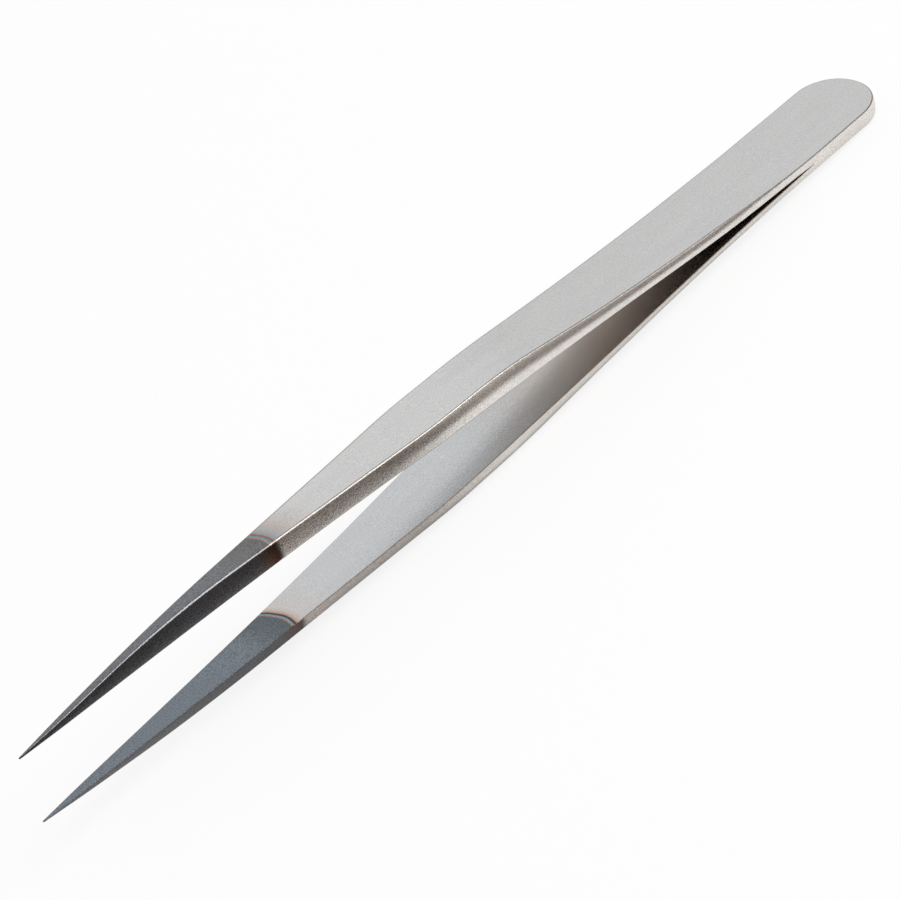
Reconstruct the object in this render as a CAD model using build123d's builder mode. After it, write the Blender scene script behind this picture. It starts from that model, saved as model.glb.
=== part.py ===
"""Fine-point tweezers: two ground spring-steel arms, welded together at the tail."""

import os
from math import atan2, cos, radians, sin, sqrt, tan

from build123d import *

os.makedirs("parts", exist_ok=True)

# Lengths along the tweezers in millimetres, from the needle points to the rounded tail
overall_length = 110.0
nib_from_tips = 5.0
shoulder_from_tips = 18.0
knee_from_tips = 48.0
elbow_from_tips = 58.0
weld_length = 11.5

# Two places along the handle, as shares of the way from the elbow to the end of the slot
handle_share = 0.42
root_share = 0.74

# Gap between the inner faces of the two arms
tip_gap = 7.0
shoulder_gap = 6.94
knee_gap = 5.7
elbow_gap = 4.7
handle_gap = 2.44
root_gap = 0.72

# Thickness of one arm
tip_thickness = 0.1
shoulder_thickness = 1.8
elbow_thickness = 1.81
handle_thickness = 0.95
root_thickness = 0.83
tail_thickness = 0.74

# Width across the inner face of an arm
tip_width = 0.17
nib_width = 1.1
knee_width = 6.85
tail_width = 8.4

# Ground sides, the slopes of the faces at the elbow and where the slot ends, and rounded edges
side_draft = 23.5
shoulder_radius = 60.0
elbow_slope = 0.135
slot_slope = 0.036
handle_edge_round = 0.25

# The rounded tail is a little flatter at its end than a half circle, and a little tighter at its corners
crown_flattening = 0.8
corner_tightening = 0.2

# Places along the handle
slot_end = overall_length - weld_length
handle_from_tips = elbow_from_tips + handle_share * (slot_end - elbow_from_tips)
root_from_tips = elbow_from_tips + root_share * (slot_end - elbow_from_tips)

# Heights of the outer face above the plane midway between the arms
tip_height = tip_gap / 2 + tip_thickness
shoulder_height = shoulder_gap / 2 + shoulder_thickness
elbow_height = elbow_gap / 2 + elbow_thickness
handle_height = handle_gap / 2 + handle_thickness
root_height = root_gap / 2 + root_thickness


def outline_half_width(face_width, gap):
    """Half width where the sloping sides, carried on, reach the plane midway between the arms."""
    return face_width / 2 + gap / 2 * tan(radians(side_draft))


def from_tips(shape):
    """Distance of a shape's centre from the needle points, along the tweezers."""
    return mid_plane.to_local_coords(shape.center()).X


def outward_share(face):
    """How squarely a face looks away from the other arm: 1 is square on, 0 is edge on."""
    return face.normal_at().dot(mid_plane.z_dir)


# Rest pose: the lower arm lies on its elbow and on the rim of its tail
rim_setback = handle_edge_round * tan(radians(90 - side_draft) / 2)
tail_contact = overall_length - tail_thickness * tan(radians(side_draft)) - rim_setback
rest_tilt = atan2(elbow_height - tail_thickness, tail_contact - elbow_from_tips)
front_reach = tip_height * sin(rest_tilt)
back_reach = overall_length * cos(rest_tilt)
mid_plane = Plane(
    origin=(
        (front_reach - back_reach) / 2,
        0,
        elbow_from_tips * sin(rest_tilt) + elbow_height * cos(rest_tilt),
    ),
    x_dir=(cos(rest_tilt), 0, -sin(rest_tilt)),
    z_dir=(sin(rest_tilt), 0, cos(rest_tilt)),
)
side_plane = Plane(origin=mid_plane.origin, x_dir=mid_plane.x_dir, z_dir=-mid_plane.y_dir)
symmetry_plane = Plane(origin=mid_plane.origin, x_dir=mid_plane.x_dir, z_dir=mid_plane.y_dir)

# Plan outline on the plane midway between the arms
tip_half = outline_half_width(tip_width, tip_gap)
nib_half = outline_half_width(nib_width, tip_gap)
knee_half = outline_half_width(knee_width, knee_gap)
tail_half = tail_width / 2
tail_crown_radius = tail_half + crown_flattening
tail_corner_radius = tail_half - corner_tightening
crown_start = overall_length - tail_crown_radius + sqrt(tail_crown_radius**2 - tail_half**2)

# The blank reaches well beyond the far side, so that each long side is cut by itself
blank_reach = 2 * tail_width
blank_height = shoulder_height + shoulder_thickness

with BuildPart() as upper_arm:
    # One long side and the tail, ground to a slope, then the same from the far side
    with BuildSketch(mid_plane):
        with BuildLine():
            long_side = Polyline(
                (-nib_from_tips, nib_half - 2 * tip_half),
                (nib_from_tips, -nib_half),
                (knee_from_tips, -knee_half),
                (crown_start, -tail_half),
            )
            crown = RadiusArc(long_side @ 1, (overall_length, 0), -tail_crown_radius)
            Polyline(
                crown @ 1,
                (overall_length, blank_reach),
                (-nib_from_tips, blank_reach),
                long_side @ 0,
            )
        make_face()
        tail_corner = vertices().sort_by_distance((crown_start, -tail_half))[0]
        fillet(tail_corner, tail_corner_radius)
    extrude(amount=blank_height, taper=side_draft)
    mirror(about=symmetry_plane, mode=Mode.INTERSECT)

    # Side profile: the bow of the inner face, and the ground outer face with its shoulder and elbow
    with BuildSketch(side_plane.offset(-tail_width)):
        with BuildLine():
            Spline(
                (0, tip_gap / 2),
                (shoulder_from_tips, shoulder_gap / 2),
                (knee_from_tips, knee_gap / 2),
                (elbow_from_tips, elbow_gap / 2),
                (handle_from_tips, handle_gap / 2),
                (root_from_tips, root_gap / 2),
                (slot_end, 0),
                tangents=((1, 0), (1, -slot_slope)),
            )
            Polyline(
                (slot_end, 0),
                (overall_length, 0),
                (overall_length, tail_thickness),
                (slot_end, tail_thickness),
            )
            Spline(
                (slot_end, tail_thickness),
                (root_from_tips, root_height),
                (handle_from_tips, handle_height),
                (elbow_from_tips, elbow_height),
                tangents=((-1, 0), (-1, elbow_slope)),
            )
            Polyline(
                (elbow_from_tips, elbow_height),
                (shoulder_from_tips, shoulder_height),
                (0, tip_height),
                (0, tip_gap / 2),
            )
        make_face()
        shoulder = vertices().sort_by_distance((shoulder_from_tips, shoulder_height))[0]
        fillet(shoulder, shoulder_radius)
    extrude(amount=2 * tail_width, mode=Mode.INTERSECT)

    # The outer face's rim is left crisp along the jaws and softened for the hand round the handle
    outer_faces = faces().filter_by(lambda face: outward_share(face) > cos(radians(side_draft)))
    other_faces = faces().filter_by(lambda face: face not in outer_faces)
    rim = outer_faces.edges().filter_by(lambda edge: edge in other_faces.edges())
    handle_rim = rim.filter_by(lambda edge: from_tips(edge) > elbow_from_tips)
    fillet(handle_rim, handle_edge_round)

with BuildPart() as lower_arm:
    # The same blank turned over: both arms meet face to face where they are welded
    mirror(upper_arm.part, about=mid_plane)

upper_arm.part.label = "upper_arm"
lower_arm.part.label = "lower_arm"
export_step(upper_arm.part, "parts/upper_arm.step")
export_step(lower_arm.part, "parts/lower_arm.step")
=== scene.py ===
"""Fine-point tweezers: the finish of the two ground steel arms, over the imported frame."""

from math import atan2, cos, pi, radians, sin, sqrt, tan

import bmesh
import bpy
import numpy as np
from mathutils import Matrix, Vector


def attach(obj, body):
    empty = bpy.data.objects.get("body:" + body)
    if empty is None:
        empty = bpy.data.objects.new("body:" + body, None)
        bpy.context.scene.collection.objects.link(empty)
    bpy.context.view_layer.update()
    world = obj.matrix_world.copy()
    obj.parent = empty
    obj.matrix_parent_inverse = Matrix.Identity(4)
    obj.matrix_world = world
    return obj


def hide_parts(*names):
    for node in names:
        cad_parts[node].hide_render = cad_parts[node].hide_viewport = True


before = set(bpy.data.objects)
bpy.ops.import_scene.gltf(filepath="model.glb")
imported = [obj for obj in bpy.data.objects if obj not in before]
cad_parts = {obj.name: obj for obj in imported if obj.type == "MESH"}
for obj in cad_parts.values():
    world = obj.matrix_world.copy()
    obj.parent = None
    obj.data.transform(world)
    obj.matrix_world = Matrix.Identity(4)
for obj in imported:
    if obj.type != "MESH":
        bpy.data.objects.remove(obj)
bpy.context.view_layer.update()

MM = 0.001

# Lengths along the tweezers in millimetres, from the needle points to the rounded tail
overall_length = 110.0
nib_from_tips = 5.0
shoulder_from_tips = 18.0
knee_from_tips = 48.0
elbow_from_tips = 58.0
weld_length = 11.5
slot_end = overall_length - weld_length

# Two places along the handle, as shares of the way from the elbow to the end of the slot
handle_share = 0.42
root_share = 0.74
handle_from_tips = elbow_from_tips + handle_share * (slot_end - elbow_from_tips)
root_from_tips = elbow_from_tips + root_share * (slot_end - elbow_from_tips)

# Gap between the two arms, and thickness of one arm, at those places
tip_gap = 7.0
shoulder_gap = 6.94
knee_gap = 5.7
elbow_gap = 4.7
handle_gap = 2.44
root_gap = 0.72
tip_thickness = 0.1
shoulder_thickness = 1.8
elbow_thickness = 1.81
handle_thickness = 0.95
root_thickness = 0.83
tail_thickness = 0.74

# Slopes of the outer face behind the elbow and of the inner face where the slot ends
elbow_slope = 0.135
slot_slope = 0.036

# Width across the inner face of an arm
tip_width = 0.17
nib_width = 1.1
knee_width = 6.85
tail_width = 8.4

# The rounded tail is a little flatter at its end than a half circle, and a little tighter at its corners
crown_flattening = 0.8
corner_tightening = 0.2
crown_radius = tail_width / 2 + crown_flattening
corner_radius = tail_width / 2 - corner_tightening

# Lean of the ground sides, and half the angle of the shallow arc that each of them is crowned with
side_draft = radians(23.5)
side_slope = tan(side_draft)
tail_draft = radians(6.0)
crown_jaws = radians(4.0)
crown_handle = radians(18.0)
crown_tail = radians(8.0)

# Where the sides begin to change to the handle's form and to the tail's, and over what length
handle_form_start = 42
handle_form_run = 8
tail_form_start = 84
tail_form_run = 14

# How far corners are softened along the arms: the shoulder's and the elbow's in the outer face, with
# the place between them where one reach gives way to the other, and the plan outline's
shoulder_reach = 7.0
elbow_reach = 3.4
reach_change = knee_from_tips - 10
outline_reach = 2.0
easing_steps = 61

# How far the rim and the inner edge are softened across the faces, and the largest share of the steel
# that they take by the points. The inner edge goes out in front of the weld, where the arms meet
rim_reach_jaws = 0.2
rim_reach_handle = 0.1
inner_reach_jaws = 0.1
inner_reach_handle = 0.08
edge_share = 0.3
weld_fade = 3
weld_least = 0.02

# Fineness of the mesh: stations along one side of the plan, and points round one half of a section
side_stations = 440
corner_stations = 40
crown_stations = 14
side_points = 9
edge_points = 7
face_rungs = (0, 0.3, 0.6, 0.85, 0.97)

# Rest pose: the lower arm lies on its elbow and on the rim of its tail
elbow_height = elbow_gap / 2 + elbow_thickness
tip_height = tip_gap / 2 + tip_thickness
edge_round = 0.25
rim_setback = edge_round * tan((pi / 2 - side_draft) / 2)
tail_contact = overall_length - tail_thickness * side_slope - rim_setback
rest_tilt = atan2(elbow_height - tail_thickness, tail_contact - elbow_from_tips)
rest_place = Vector((
    (tip_height * sin(rest_tilt) - overall_length * cos(rest_tilt)) / 2,
    0,
    elbow_from_tips * sin(rest_tilt) + elbow_height * cos(rest_tilt),
)) * MM

# Where the dark coating ends: further back on the outsides than on the inner faces, in a shallow bow
# that wanders a little. Its fringe reaches both ways from there
coat_end_outside = 29.6
coat_end_inside = 28.6
outside_height = 3.5
inside_height = 3.3
coat_bow = 0.13
coat_bow_aside = 0.6
coat_wander = 0.3
coat_edge_reach = 0.5
fringe_reach = 5.0

# Base colours. It is all one metal: the first colour is the steel's own, and the others are painted
# light and
# shade: the inner faces painted a little darker, painted shade in the slot between the arms, dark
# painted rims and inner edges, the jaws' sides painted darker and the handle's and tail's sides painted
# lighter
steel_colour = "#CAC9C8"
shaded_inner_colour = "#C4C5C6"
slot_shade_colour = "#C4BDB7"
rim_shade_jaws = "#8C8884"
rim_shade_handle = "#706C68"
painted_inner_edge_shade = "#75675D"
jaw_side_shade = "#B4AFAA"
painted_side_light = "#E6E2DD"

# Where the painted light and shade and the jaws' tone change along the arms
bare_side_start = 44.0
bare_side_full = 56.0
slot_shade_start = 54.0
slot_shade_full = 70.0
handle_tone_end = 60.0
jaw_tone_full = 52.0
jaw_tone = 1.08

# Grit of the ground surface. Real grit is finer: it is drawn as coarse as it needs to show
grit_width = 0.12
grit_depth = 0.011
grit_contrast_coarse = 2.0
grit_contrast_calm = 0.6
handle_calm = 0.6

# Faint streaks along the arms: the range of the noise that counts, and what it does
streak_low = 0.3
streak_high = 0.7
streak_tone = (0.97, 1.02)
streak_roughness = (0.24, 0.27)

# Camera: the photograph's viewing angle
camera_aim = Vector((-4.85, -1.97, 5.0)) * MM
camera_azimuth = radians(-125.01)
camera_elevation = radians(38.25)
camera_roll = radians(-20.22)
camera_distance = 393.3 * MM
camera_lens = 180.0

lamp_brightness = 4.0
lamp_place = Vector((0.34, -0.22, 0.63))
lamp_width = 0.5

# The table. Mirrors and the camera find a little plain white in it, and the camera finds much more
table_reach = 3.0
table_colour = "#F4F4F4"
white_for_camera = 0.8
white_for_sight = 0.05

# The room's far side fades into its near side between this much of Y and as much of -Y
room_turn = 0.3

# Sockets of a mix node that mixes colours
FIRST = 6
SECOND = 7
MIXED = 2


def linear(code):
    """An sRGB hex colour as the linear RGBA that a socket holds."""
    parts = [int(code[i:i + 2], 16) / 255 for i in (1, 3, 5)]
    return (*(c / 12.92 if c <= 0.04045 else ((c + 0.055) / 1.055) ** 2.4 for c in parts), 1)


def add(tree, kind, inputs=None, stops=(), **settings):
    """Adds a node with its settings. An input that is given a socket is linked to it.
    Stops are a colour ramp's places and hex colours."""
    node = tree.nodes.new(kind)
    for name, value in settings.items():
        setattr(node, name, value)
    for i, (where, colour) in enumerate(stops):
        element = node.color_ramp.elements.new(where) if i > 1 else node.color_ramp.elements[i]
        element.position = where
        element.color = linear(colour)
    for key, value in (inputs or {}).items():
        if isinstance(value, bpy.types.NodeSocket):
            tree.links.new(value, node.inputs[key])
        else:
            node.inputs[key].default_value = value
    return node


def smooth_line(knots, slopes, x):
    """Heights at x of the smoothest line through the knots, with the given slopes at its two ends."""
    kx, kz = np.array(knots).T
    run = np.diff(kx)
    rise = np.diff(kz) / run
    matrix = np.eye(len(kx))
    slope = np.array([slopes[0], *[0.0] * (len(kx) - 2), slopes[1]])
    for i in range(1, len(kx) - 1):
        matrix[i, i - 1:i + 2] = run[i], 2 * (run[i - 1] + run[i]), run[i - 1]
        slope[i] = 3 * (run[i] * rise[i - 1] + run[i - 1] * rise[i])
    slope = np.linalg.solve(matrix, slope)
    i = np.clip(np.searchsorted(kx, x) - 1, 0, len(run) - 1)
    t = np.clip((x - kx[i]) / run[i], 0, 1)
    bend_in = slope[i] * run[i] - (kz[i + 1] - kz[i])
    bend_out = -slope[i + 1] * run[i] + (kz[i + 1] - kz[i])
    return (1 - t) * kz[i] + t * kz[i + 1] + t * (1 - t) * ((1 - t) * bend_in + t * bend_out)


def eased(line, x, reach):
    """The line with its corners rounded over reach on both sides."""
    steps = np.linspace(-reach, reach, easing_steps)
    return np.mean([line(x + step) for step in steps], axis=0)


def inner_height(x):
    """Height of the inner face above the plane midway between the arms: the arm's bow."""
    knots = [
        (0, tip_gap / 2),
        (shoulder_from_tips, shoulder_gap / 2),
        (knee_from_tips, knee_gap / 2),
        (elbow_from_tips, elbow_gap / 2),
        (handle_from_tips, handle_gap / 2),
        (root_from_tips, root_gap / 2),
        (slot_end, 0),
    ]
    return smooth_line(knots, (0, -slot_slope), x)


def outer_height(x):
    """Height of the outer face: two straight grinds along the jaws, then the thinner handle."""
    shoulder_height = shoulder_gap / 2 + shoulder_thickness
    point_grind = tip_height + (shoulder_height - tip_height) * x / shoulder_from_tips
    jaw_grind = np.interp(x, (shoulder_from_tips, elbow_from_tips), (shoulder_height, elbow_height))
    knots = [
        (elbow_from_tips, elbow_height),
        (handle_from_tips, handle_gap / 2 + handle_thickness),
        (root_from_tips, root_gap / 2 + root_thickness),
        (slot_end, tail_thickness),
    ]
    handle = smooth_line(knots, (-elbow_slope, 0), x)
    jaws = np.where(x < shoulder_from_tips, point_grind, jaw_grind)
    return np.where(x < elbow_from_tips, jaws, handle)


def half_width(x):
    """Half width of the plan outline, where the sloping sides reach the plane midway between
    the arms."""
    places = (0, nib_from_tips, knee_from_tips, overall_length - crown_radius)
    widths = (
        tip_width / 2 + tip_gap / 2 * side_slope,
        nib_width / 2 + tip_gap / 2 * side_slope,
        knee_width / 2 + knee_gap / 2 * side_slope,
        tail_width / 2,
    )
    first_slope = (widths[1] - widths[0]) / nib_from_tips
    return np.where(x < 0, widths[0] + first_slope * x, np.interp(x, places, widths))


def plan_outline():
    """Stations round one side of the plan, from the points to the end of the tail.
    Each has its place and the way inwards from it."""
    crown_centre = overall_length - crown_radius
    corner_y = tail_width / 2 - corner_radius
    corner_x = crown_centre + sqrt((crown_radius - corner_radius) ** 2 - corner_y ** 2)
    turn = atan2(corner_y, corner_x - crown_centre)
    side_x = np.linspace(0, corner_x, side_stations)[:-1]
    corner = np.linspace(pi / 2, turn, corner_stations)[:-1]
    crown = np.linspace(turn, 0, crown_stations)
    x = np.concatenate([
        side_x,
        corner_x + corner_radius * np.cos(corner),
        crown_centre + crown_radius * np.cos(crown),
    ])
    y = np.concatenate([
        eased(half_width, side_x, outline_reach),
        corner_y + corner_radius * np.sin(corner),
        crown_radius * np.sin(crown),
    ])
    way = np.concatenate([np.full(len(side_x), pi / 2), corner, crown])
    return x, y, -np.cos(way), -np.sin(way)


def section(x):
    """One side of the arm's section at each station, from the middle of the inner face to that of
    the outer face. Gives the distance in from the plan outline and the height above the inner face."""
    corner_reach = np.where(x < reach_change, shoulder_reach, elbow_reach)
    low, high = inner_height(x)[:, None], eased(outer_height, x, corner_reach)[:, None]
    thick = high - low
    handle = np.clip((x - handle_form_start) / handle_form_run, 0, 1)[:, None]
    tail = np.clip((x - tail_form_start) / tail_form_run, 0, 1)[:, None]
    lean = side_draft + (tail_draft - side_draft) * tail
    crown = crown_jaws + (crown_handle - crown_jaws) * handle + (crown_tail - crown_handle) * tail
    slant = thick / np.cos(lean)
    outer_half = eased(half_width, x, outline_reach)[:, None] - high * side_slope
    small = edge_share * np.minimum(thick, outer_half)
    rim = np.minimum(rim_reach_jaws + (rim_reach_handle - rim_reach_jaws) * handle, small)
    inner = np.minimum(inner_reach_jaws + (inner_reach_handle - inner_reach_jaws) * handle, small)
    inner = inner * np.clip((slot_end - x) / weld_fade, weld_least, 1)[:, None]

    # The side: a shallow arc over the slant, trimmed where the softened edges begin
    along = inner / slant + (1 - (inner + rim) / slant) * np.linspace(0, 1, side_points)
    swing = np.arcsin(np.clip(2 * along - 1, -1, 1) * np.sin(crown))
    bulge = slant / 2 * (np.cos(swing) - np.cos(crown)) / np.sin(crown)
    across = low * side_slope + along * slant * np.sin(lean) - bulge * np.cos(lean)
    up = along * slant * np.cos(lean) + bulge * np.sin(lean)

    # Each softened edge is a curve that leaves the side and lands on the face
    blend = np.linspace(0, 1, edge_points + 1)[None, 1:]
    pieces = []
    for at, height, reach in ((0, 0 * thick, inner), (-1, thick, rim)):
        start, rise = across[:, at, None], up[:, at, None]
        corner = start + (height - rise) * np.tan(lean + swing[:, at, None])
        landing = corner + reach
        pieces.append((
            (1 - blend) ** 2 * start + 2 * blend * (1 - blend) * corner + blend ** 2 * landing,
            (1 - blend) ** 2 * rise + (1 - (1 - blend) ** 2) * height,
        ))
    (inner_across, inner_up), (rim_across, rim_up) = pieces
    across = np.concatenate([inner_across[:, ::-1], across, rim_across], axis=1)
    up = np.concatenate([inner_up[:, ::-1], up, rim_up], axis=1)
    return across, up


def blank_mesh():
    """The ground blank of one arm, lying flat on its inner face, with its bow kept as an attribute."""
    x, y, way_x, way_y = plan_outline()
    across, up = section(x)
    edge_x = x[:, None] + way_x[:, None] * across
    edge_y = y[:, None] + way_y[:, None] * across

    # Rungs across the two faces, closer together by the edges
    rungs = np.array(face_rungs)[None, :]
    level = np.zeros_like(rungs)
    half_x = np.concatenate([edge_x[:, :1] + level, edge_x, edge_x[:, -1:] + level], axis=1)
    half_y = np.concatenate([edge_y[:, :1] * rungs, edge_y, edge_y[:, -1:] * rungs[:, ::-1]], axis=1)
    half_z = np.concatenate([up[:, :1] + level, up, up[:, -1:] + level], axis=1)
    ring_x = np.concatenate([half_x, half_x[:, -2:0:-1]], axis=1)
    ring_y = np.concatenate([half_y, -half_y[:, -2:0:-1]], axis=1)
    ring_z = np.concatenate([half_z, half_z[:, -2:0:-1]], axis=1)

    stations, points = ring_x.shape
    places = np.stack([ring_x, ring_y, ring_z], axis=-1).reshape(-1, 3) * MM
    index = np.arange(stations * points).reshape(stations, points)
    beside = np.roll(index, -1, axis=1)
    quads = np.stack([index[:-1], beside[:-1], beside[1:], index[1:]], axis=-1).reshape(-1, 4)
    mesh = bpy.data.meshes.new("ground_blank")
    mesh.from_pydata(places.tolist(), [], [*quads.tolist(), index[0].tolist()])
    bow = mesh.attributes.new("bow", "FLOAT", "POINT")
    bow.data.foreach_set("value", inner_height(places[:, 0] / MM) * MM)

    # Which way each point faces: -1 on the inner face, 0 on the ground side, 1 on the outer face
    soft = np.linspace(0, 1, edge_points + 1)[1:]
    one_side = np.concatenate([level[0] - 1, -soft[::-1], np.zeros(side_points), soft, level[0] + 1])
    facing = mesh.attributes.new("facing", "FLOAT", "POINT")
    facing.data.foreach_set("value", np.tile(np.concatenate([one_side, one_side[-2:0:-1]]), stations))

    # The points on the middle of the tail's end meet, and so become one
    shaped = bmesh.new()
    shaped.from_mesh(mesh)
    bmesh.ops.remove_doubles(shaped, verts=shaped.verts, dist=1e-4 * MM)
    bmesh.ops.recalc_face_normals(shaped, faces=shaped.faces)
    shaped.to_mesh(mesh)
    shaped.free()
    return mesh


def bowing_tree():
    """Geometry Nodes: bows a flat blank, turns it over for the lower arm and lays it in the rest
    pose."""
    tree = bpy.data.node_groups.new("bow and lay an arm", "GeometryNodeTree")
    for name, kind in (
        ("Geometry", "NodeSocketGeometry"),
        ("Turned Over", "NodeSocketBool"),
        ("Rest Tilt", "NodeSocketFloat"),
        ("Rest Place", "NodeSocketVector"),
        ("Material", "NodeSocketMaterial"),
    ):
        tree.interface.new_socket(name, in_out="INPUT", socket_type=kind)
    tree.interface.new_socket("Geometry", in_out="OUTPUT", socket_type="NodeSocketGeometry")
    given = add(tree, "NodeGroupInput").outputs
    bow = add(tree, "GeometryNodeInputNamedAttribute", {"Name": "bow"}, data_type="FLOAT")
    rise = add(tree, "ShaderNodeCombineXYZ", {"Z": bow.outputs["Attribute"]})
    bowed = add(tree, "GeometryNodeSetPosition", {
        "Geometry": given["Geometry"], "Offset": rise.outputs[0]})
    half_turn = add(tree, "ShaderNodeMath", {0: given["Turned Over"], 1: pi}, operation="MULTIPLY")
    over = add(tree, "ShaderNodeCombineXYZ", {"X": half_turn.outputs[0]})
    turned = add(tree, "GeometryNodeTransform", {
        "Geometry": bowed.outputs[0], "Rotation": over.outputs[0]})
    lean = add(tree, "ShaderNodeCombineXYZ", {"Y": given["Rest Tilt"]})
    laid = add(tree, "GeometryNodeTransform", {
        "Geometry": turned.outputs[0],
        "Rotation": lean.outputs[0],
        "Translation": given["Rest Place"],
    })
    smooth = add(tree, "GeometryNodeSetShadeSmooth", {"Geometry": laid.outputs[0]})
    real = add(tree, "GeometryNodeRealizeInstances", {"Geometry": smooth.outputs[0]})
    finished = add(tree, "GeometryNodeSetMaterial", {
        "Geometry": real.outputs[0], "Material": given["Material"]})
    add(tree, "NodeGroupOutput", {"Geometry": finished.outputs[0]})
    return tree


def make_arm(name, node, blank, tree, turned_over, material):
    """One arm as a plain mesh that stands for its CAD node."""
    arm = bpy.data.objects.new(name, blank.copy())
    bpy.context.scene.collection.objects.link(arm)
    bowing = arm.modifiers.new("bow and lay", "NODES")
    bowing.node_group = tree
    values = {
        "Turned Over": turned_over,
        "Rest Tilt": rest_tilt,
        "Rest Place": rest_place,
        "Material": material,
    }
    for socket in tree.interface.items_tree:
        if socket.in_out == "INPUT" and socket.name in values:
            bowing[socket.identifier] = values[socket.name]
    evaluated = arm.evaluated_get(bpy.context.evaluated_depsgraph_get())
    plain = bpy.data.meshes.new_from_object(evaluated)
    arm.modifiers.remove(bowing)
    arm.data = plain
    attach(arm, "root")
    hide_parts(node)


def along_the_arms(tree):
    """Object coordinates turned to run along the tweezers, in millimetres from the needle points."""
    place = add(tree, "ShaderNodeTexCoord")
    turned = add(tree, "ShaderNodeMapping", {
        "Vector": place.outputs["Object"],
        "Location": rest_place,
        "Rotation": (0, rest_tilt, 0),
        "Scale": (MM, MM, MM),
    }, vector_type="TEXTURE")
    return turned.outputs[0]


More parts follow.
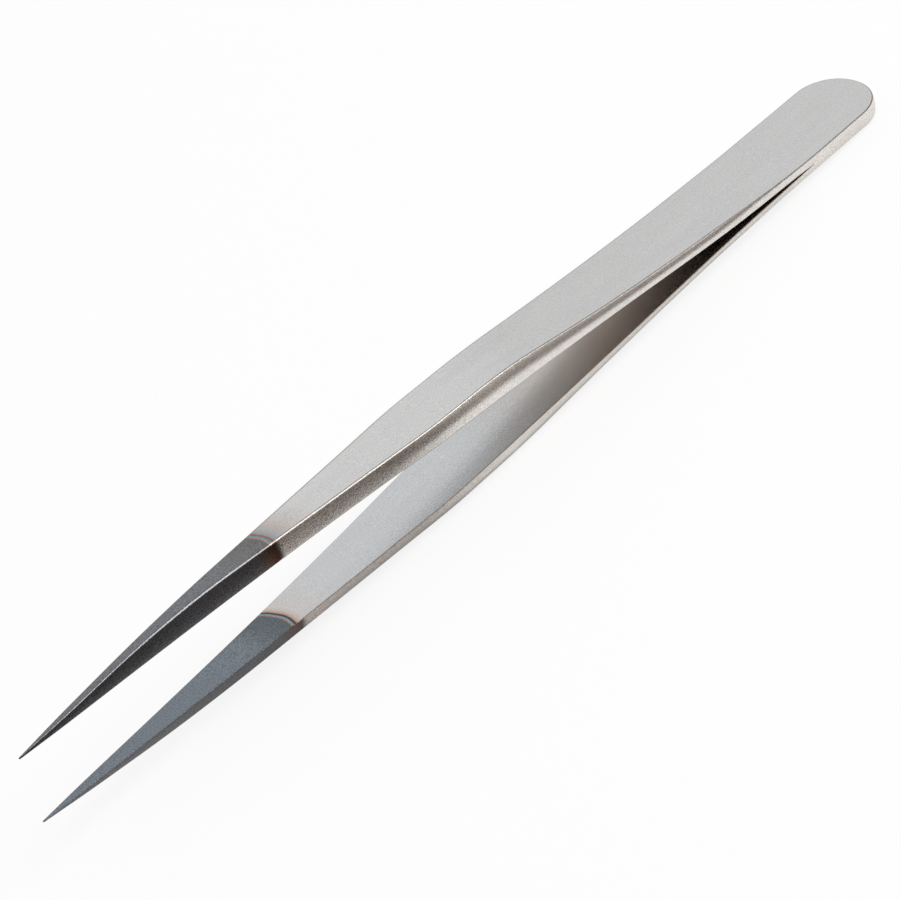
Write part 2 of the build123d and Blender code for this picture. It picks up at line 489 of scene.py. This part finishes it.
def spring_steel():
    """Satin stainless spring steel with a dark hard coating on the points: the ground steel is pale
    and blurs what it mirrors, and the coating shows interference colours where it thins out."""
    material = bpy.data.materials.new("satin spring steel with coated points")
    material.use_nodes = True
    tree = material.node_tree
    shader = tree.nodes["Principled BSDF"]
    place = along_the_arms(tree)
    parts = add(tree, "ShaderNodeSeparateXYZ", {0: place})
    along = parts.outputs["X"]

    # How far each place is in front of the coating's end
    height = add(tree, "ShaderNodeMath", {0: parts.outputs["Z"]}, operation="ABSOLUTE")
    end = add(tree, "ShaderNodeMapRange", {
        "Value": height.outputs[0],
        "From Min": outside_height,
        "From Max": inside_height,
        "To Min": coat_end_outside,
        "To Max": coat_end_inside,
    })
    aside = add(tree, "ShaderNodeMath", {0: parts.outputs["Y"], 1: coat_bow_aside}, operation="ADD")
    squared = add(tree, "ShaderNodeMath", {0: aside.outputs[0], 1: 2.0}, operation="POWER")
    bowed = add(tree, "ShaderNodeMath", {
        0: squared.outputs[0], 1: -coat_bow, 2: end.outputs[0]}, operation="MULTIPLY_ADD")
    wander = add(tree, "ShaderNodeTexNoise", {"Vector": place, "Scale": 0.5, "Detail": 1.0})
    wavy = add(tree, "ShaderNodeMath", {
        0: wander.outputs["Fac"], 1: coat_wander, 2: bowed.outputs[0]}, operation="MULTIPLY_ADD")
    past = add(tree, "ShaderNodeMath", {0: wavy.outputs[0], 1: along}, operation="SUBTRACT")
    on_coat = add(tree, "ShaderNodeMapRange", {
        "Value": past.outputs[0], "From Min": -coat_edge_reach, "From Max": coat_edge_reach})
    fringe = add(tree, "ShaderNodeMapRange", {
        "Value": past.outputs[0], "From Min": -fringe_reach, "From Max": fringe_reach})

    # Each ramp runs from bare steel, over the coating's end at its middle, to the full coating
    on_outside = add(tree, "ShaderNodeValToRGB", {"Fac": fringe.outputs[0]}, stops=[
        (0.0, steel_colour),
        (0.25, "#C0BAB6"),
        (0.36, "#B6ACA7"),
        (0.41, "#A6A8AA"),
        (0.47, "#9A9898"),
        (0.496, "#955644"),
        (0.508, "#6D808C"),
        (0.522, "#6F99A6"),
        (0.54, "#A9806A"),
        (0.555, "#6C6A6A"),
        (0.75, "#706F70"),
        (1.0, "#737477"),
    ])
    # The inner faces start from their painted shade, a little darker and bluer than the steel
    on_inside = add(tree, "ShaderNodeValToRGB", {"Fac": fringe.outputs[0]}, stops=[
        (0.0, shaded_inner_colour),
        (0.4, "#C6C2BF"),
        (0.45, "#C0B6AD"),
        (0.478, "#B89D8A"),
        (0.489, "#A5836F"),
        (0.497, "#4A3C3C"),
        (0.508, "#34495A"),
        (0.523, "#7B97A2"),
        (0.538, "#A5836C"),
        (0.552, "#5C6468"),
        (0.75, "#62696D"),
        (1.0, "#737A81"),
    ])
    # The sides start from the jaws' sides' painted shade
    on_sides = add(tree, "ShaderNodeValToRGB", {"Fac": fringe.outputs[0]}, stops=[
        (0.0, jaw_side_shade),
        (0.44, "#BFB7B1"),
        (0.49, "#4A4F4C"),
        (0.51, "#4A2F26"),
        (0.6, "#58453D"),
        (0.7, "#575354"),
        (1.0, "#58585B"),
    ])

    # Painted light and shade: the jaws' sides darker and the handle's sides lighter, painted shade in
    # the slot between the arms, and dark painted rims and inner edges
    on_handle = add(tree, "ShaderNodeMapRange", {
        "Value": along, "From Min": bare_side_start, "From Max": bare_side_full})
    slot_shade_mask = add(tree, "ShaderNodeMapRange", {
        "Value": along, "From Min": slot_shade_start, "From Max": slot_shade_full})
    sides = add(tree, "ShaderNodeMix", {
        "Factor": on_handle.outputs[0],
        FIRST: on_sides.outputs[0],
        SECOND: linear(painted_side_light),
    }, data_type="RGBA")
    inside = add(tree, "ShaderNodeMix", {
        "Factor": slot_shade_mask.outputs[0],
        FIRST: on_inside.outputs[0],
        SECOND: linear(slot_shade_colour),
    }, data_type="RGBA")
    # Painted shade on the rims: it dims the lamp's highlight to a thin line, and darkens the lower arm's
    # rim where it mirrors its own shadow
    painted_rim_shade = add(tree, "ShaderNodeMix", {
        "Factor": on_handle.outputs[0],
        FIRST: linear(rim_shade_jaws),
        SECOND: linear(rim_shade_handle),
    }, data_type="RGBA")
    rims = add(tree, "ShaderNodeMix", {
        "Factor": on_coat.outputs[0],
        FIRST: painted_rim_shade.outputs[MIXED],
        SECOND: on_outside.outputs[0],
    }, data_type="RGBA")
    # Painted shade on the inner edges: thin dark lines where the inner faces turn into the sides
    inner_edge_shade_or_coat = add(tree, "ShaderNodeMix", {
        "Factor": on_coat.outputs[0],
        FIRST: linear(painted_inner_edge_shade),
        SECOND: on_sides.outputs[0],
    }, data_type="RGBA")

    # From the side over the rim to the outer face, then over the inner edge to the inner face.
    # Each shade comes in over a stretch of the way that its places turn from the side to the face
    facing = add(tree, "ShaderNodeAttribute", attribute_name="facing")
    outwards = add(tree, "ShaderNodeMapRange", {
        "Value": facing.outputs["Fac"], "From Min": 0.0, "From Max": 1.0})
    inwards = add(tree, "ShaderNodeMapRange", {
        "Value": facing.outputs["Fac"], "From Min": 0.0, "From Max": -1.0})
    colour = sides.outputs[MIXED]
    for turned, start, full, shade in (
        (outwards, 0.05, 0.35, rims.outputs[MIXED]),
        (outwards, 0.85, 1.0, on_outside.outputs[0]),
        (inwards, 0.0, 0.35, inner_edge_shade_or_coat.outputs[MIXED]),
        (inwards, 0.8, 1.0, inside.outputs[MIXED]),
    ):
        share = add(tree, "ShaderNodeMapRange", {
            "Value": turned.outputs[0],
            "From Min": start,
            "From Max": full,
        }, interpolation_type="SMOOTHSTEP")
        mix = add(tree, "ShaderNodeMix", {
            "Factor": share.outputs[0], FIRST: colour, SECOND: shade}, data_type="RGBA")
        colour = mix.outputs[MIXED]

    # Grit: coarse on the jaws' bare sides and on the coating, calm on the bare faces and the handle
    grain = add(tree, "ShaderNodeTexNoise", {
        "Vector": place, "Scale": 1 / grit_width, "Detail": 2.0})
    flat = add(tree, "ShaderNodeMath", {0: facing.outputs["Fac"]}, operation="ABSOLUTE")
    bare = add(tree, "ShaderNodeMath", {
        0: flat.outputs[0], 1: on_coat.outputs[0]}, operation="SUBTRACT")
    calm = add(tree, "ShaderNodeMath", {
        0: on_handle.outputs[0], 1: handle_calm, 2: bare.outputs[0]}, operation="MULTIPLY_ADD")
    contrast = add(tree, "ShaderNodeMapRange", {
        "Value": calm.outputs[0],
        "From Min": 0.0,
        "From Max": 1.0,
        "To Min": grit_contrast_coarse,
        "To Max": grit_contrast_calm,
    })
    off_mean = add(tree, "ShaderNodeMath", {
        0: grain.outputs["Fac"], 1: 0.5}, operation="SUBTRACT")
    speckle = add(tree, "ShaderNodeMath", {
        0: off_mean.outputs[0], 1: contrast.outputs[0], 2: 1.0}, operation="MULTIPLY_ADD")

    # Faint streaks along the arms, and the jaws a little brighter than the handle
    stretched = add(tree, "ShaderNodeMapping", {"Vector": place, "Scale": (0.1, 0.9, 0.9)})
    streaks = add(tree, "ShaderNodeTexNoise", {
        "Vector": stretched.outputs[0], "Scale": 1.0, "Detail": 3.0})
    streaked = add(tree, "ShaderNodeMapRange", {
        "Value": streaks.outputs["Fac"],
        "From Min": streak_low,
        "From Max": streak_high,
        "To Min": streak_tone[0],
        "To Max": streak_tone[1],
    })
    jaws = add(tree, "ShaderNodeMapRange", {
        "Value": along,
        "From Min": handle_tone_end,
        "From Max": jaw_tone_full,
        "To Min": 1.0,
        "To Max": jaw_tone,
    })
    ground = add(tree, "ShaderNodeMath", {
        0: streaked.outputs[0], 1: speckle.outputs[0]}, operation="MULTIPLY")
    tone = add(tree, "ShaderNodeMath", {
        0: ground.outputs[0], 1: jaws.outputs[0]}, operation="MULTIPLY")
    toned = add(tree, "ShaderNodeVectorMath", {0: colour, "Scale": tone.outputs[0]}, operation="SCALE")
    rough = add(tree, "ShaderNodeMapRange", {
        "Value": streaks.outputs["Fac"],
        "From Min": streak_low,
        "From Max": streak_high,
        "To Min": streak_roughness[0],
        "To Max": streak_roughness[1],
    })
    bump = add(tree, "ShaderNodeBump", {
        "Height": grain.outputs["Fac"], "Strength": 1.0, "Distance": grit_depth * MM})
    shader.inputs["Metallic"].default_value = 1.0
    tree.links.new(toned.outputs[0], shader.inputs["Base Color"])
    tree.links.new(rough.outputs[0], shader.inputs["Roughness"])
    tree.links.new(bump.outputs[0], shader.inputs["Normal"])
    return material


def white_floor():
    """A plain white table, with the object's soft shadow."""
    mesh = bpy.data.meshes.new("table")
    ways = ((-1, -1), (1, -1), (1, 1), (-1, 1))
    corners = [(x * table_reach, y * table_reach, 0) for x, y in ways]
    mesh.from_pydata(corners, [], [(0, 1, 2, 3)])
    floor = bpy.data.objects.new("table", mesh)
    bpy.context.scene.collection.objects.link(floor)
    material = bpy.data.materials.new("matt white laminate")
    material.use_nodes = True
    tree = material.node_tree
    shader = tree.nodes["Principled BSDF"]
    shader.inputs["Base Color"].default_value = linear(table_colour)
    shader.inputs["Roughness"].default_value = 0.9

    # All other light meets the laminate alone, and the camera still sees the object's shadow on it
    seen = add(tree, "ShaderNodeLightPath")
    direct = add(tree, "ShaderNodeMath", {
        0: seen.outputs["Is Camera Ray"], 1: seen.outputs["Is Glossy Ray"]}, operation="MAXIMUM")
    through = add(tree, "ShaderNodeMath", {
        0: direct.outputs[0], 1: seen.outputs["Is Transmission Ray"]}, operation="MAXIMUM")
    sight = add(tree, "ShaderNodeMath", {
        0: through.outputs[0], 1: white_for_sight}, operation="MULTIPLY")
    share = add(tree, "ShaderNodeMath", {
        0: seen.outputs["Is Camera Ray"],
        1: white_for_camera,
        2: sight.outputs[0],
    }, operation="MULTIPLY_ADD")
    white = add(tree, "ShaderNodeEmission", {"Color": (1, 1, 1, 1), "Strength": 1.0})
    mixed = add(tree, "ShaderNodeMixShader", {
        0: share.outputs[0], 1: shader.outputs[0], 2: white.outputs[0]})
    tree.links.new(mixed.outputs[0], tree.nodes["Material Output"].inputs["Surface"])
    mesh.materials.append(material)


def room_light():
    """The room that the steel mirrors: dim and warm low down on the near side, pale on the far side,
    and a broad soft lamp overhead."""
    world = bpy.data.worlds.new("room")
    bpy.context.scene.world = world
    world.use_nodes = True
    tree = world.node_tree
    background = tree.nodes["Background"]
    way = add(tree, "ShaderNodeTexCoord")
    parts = add(tree, "ShaderNodeSeparateXYZ", {0: way.outputs["Generated"]})
    nearness = add(tree, "ShaderNodeMapRange", {
        "Value": parts.outputs["Y"],
        "From Min": room_turn,
        "From Max": -room_turn,
    }, interpolation_type="SMOOTHSTEP")
    far_side = add(tree, "ShaderNodeValToRGB", {"Fac": parts.outputs["Z"]}, stops=[
        (0.0, "#D2D2D2"),
        (0.3, "#F4F4F5"),
        (0.66, "#FDFEFF"),
        (0.8, "#C4C4C4"),
        (1.0, "#C4C4C4"),
    ])
    near_side = add(tree, "ShaderNodeValToRGB", {"Fac": parts.outputs["Z"]}, stops=[
        (0.0, "#5A504C"),
        (0.17, "#857D78"),
        (0.5, "#A8A39E"),
        (0.7, "#BEBCBA"),
        (1.0, "#C4C4C4"),
    ])
    room = add(tree, "ShaderNodeMix", {
        "Factor": nearness.outputs[0],
        FIRST: far_side.outputs["Color"],
        SECOND: near_side.outputs["Color"],
    }, data_type="RGBA")
    tree.links.new(room.outputs[MIXED], background.inputs["Color"])
    background.inputs["Strength"].default_value = 1.0

    lamp = bpy.data.lights.new("soft lamp", "AREA")
    lamp.shape = "SQUARE"
    lamp.size = lamp_width
    lamp.energy = lamp_brightness * pi * lamp_width ** 2
    hung = bpy.data.objects.new("soft lamp", lamp)
    hung.location = lamp_place
    hung.rotation_euler = (Vector((0, 0, 0)) - hung.location).to_track_quat("-Z", "X").to_euler()
    bpy.context.scene.collection.objects.link(hung)


def photo_camera():
    """The camera, at the photograph's viewing angle."""
    data = bpy.data.cameras.new("camera")
    data.sensor_width = 36.0
    data.lens = camera_lens
    data.clip_start = 0.01
    data.clip_end = 20.0
    camera = bpy.data.objects.new("camera", data)
    bpy.context.scene.collection.objects.link(camera)
    back = Vector((
        cos(camera_elevation) * cos(camera_azimuth),
        cos(camera_elevation) * sin(camera_azimuth),
        sin(camera_elevation),
    ))
    looking = (-back).to_track_quat("-Z", "Y").to_matrix().to_4x4()
    turned = looking @ Matrix.Rotation(camera_roll, 4, "Z")
    camera.matrix_world = Matrix.Translation(camera_aim + back * camera_distance) @ turned
    bpy.context.scene.camera = camera


bpy.context.scene.view_settings.view_transform = "Standard"
photo_camera()
room_light()
white_floor()
blank = blank_mesh()
tree = bowing_tree()
steel = spring_steel()
make_arm("upper_arm_steel", "upper_arm", blank, tree, False, steel)
make_arm("lower_arm_steel", "lower_arm", blank, tree, True, steel)
